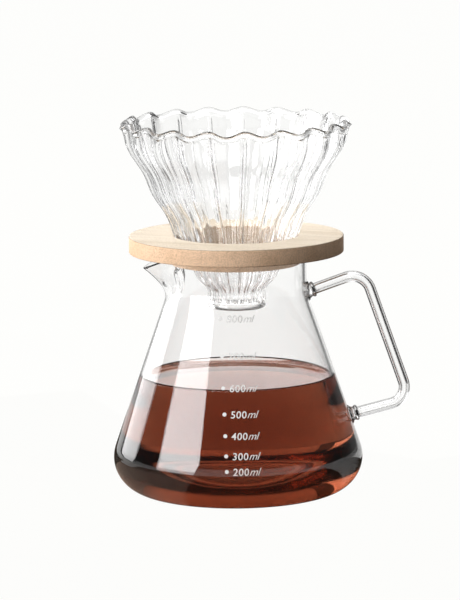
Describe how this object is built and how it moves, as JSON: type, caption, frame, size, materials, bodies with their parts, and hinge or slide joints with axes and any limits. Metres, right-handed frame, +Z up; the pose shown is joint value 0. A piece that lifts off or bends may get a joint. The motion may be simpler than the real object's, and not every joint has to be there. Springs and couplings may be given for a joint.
{
  "type": "pour over dripper",
  "caption": "Fluted glass cone dripper in a wooden collar on a graduated glass carafe with a spout and a looped glass tube handle.",
  "frame": {"origin": "centre of the carafe's flat base, on the surface that it stands on", "axes": "+Z up along the axis of the carafe and the dripper, +X towards the handle, -X towards the spout, -Y towards the printed volume scale"},
  "size_m": [0.1537, 0.129, 0.1936],
  "materials": {
    "dripper_glass": "clear pressed glass with vertical flutes",
    "carafe_glass": "clear blown borosilicate glass",
    "beech": "pale beech, fine sanded, lightly oiled",
    "scale_enamel": "white fired enamel",
    "coffee": "clear brown brewed coffee"
  },
  "bodies": {
    "carafe": {"carafe_body": "carafe_glass", "carafe_handle": "carafe_glass", "upper_weld_bead": "carafe_glass", "lower_weld_bead": "carafe_glass", "mark_200ml": "scale_enamel", "mark_300ml": "scale_enamel", "mark_400ml": "scale_enamel", "mark_500ml": "scale_enamel", "mark_600ml": "scale_enamel", "mark_700ml": "scale_enamel", "mark_800ml": "scale_enamel"},
    "collar": {"wooden_collar": "beech"},
    "dripper": {"glass_dripper": "dripper_glass"}
  },
  "joints": [
    {"name": "collar_lift", "type": "slide", "parent": "carafe", "child": "collar", "axis": [0, 0, 1], "range_m": [0, 0.06]},
    {"name": "dripper_lift", "type": "slide", "parent": "collar", "child": "dripper", "axis": [0, 0, 1], "range_m": [0, 0.06]}
  ]
}
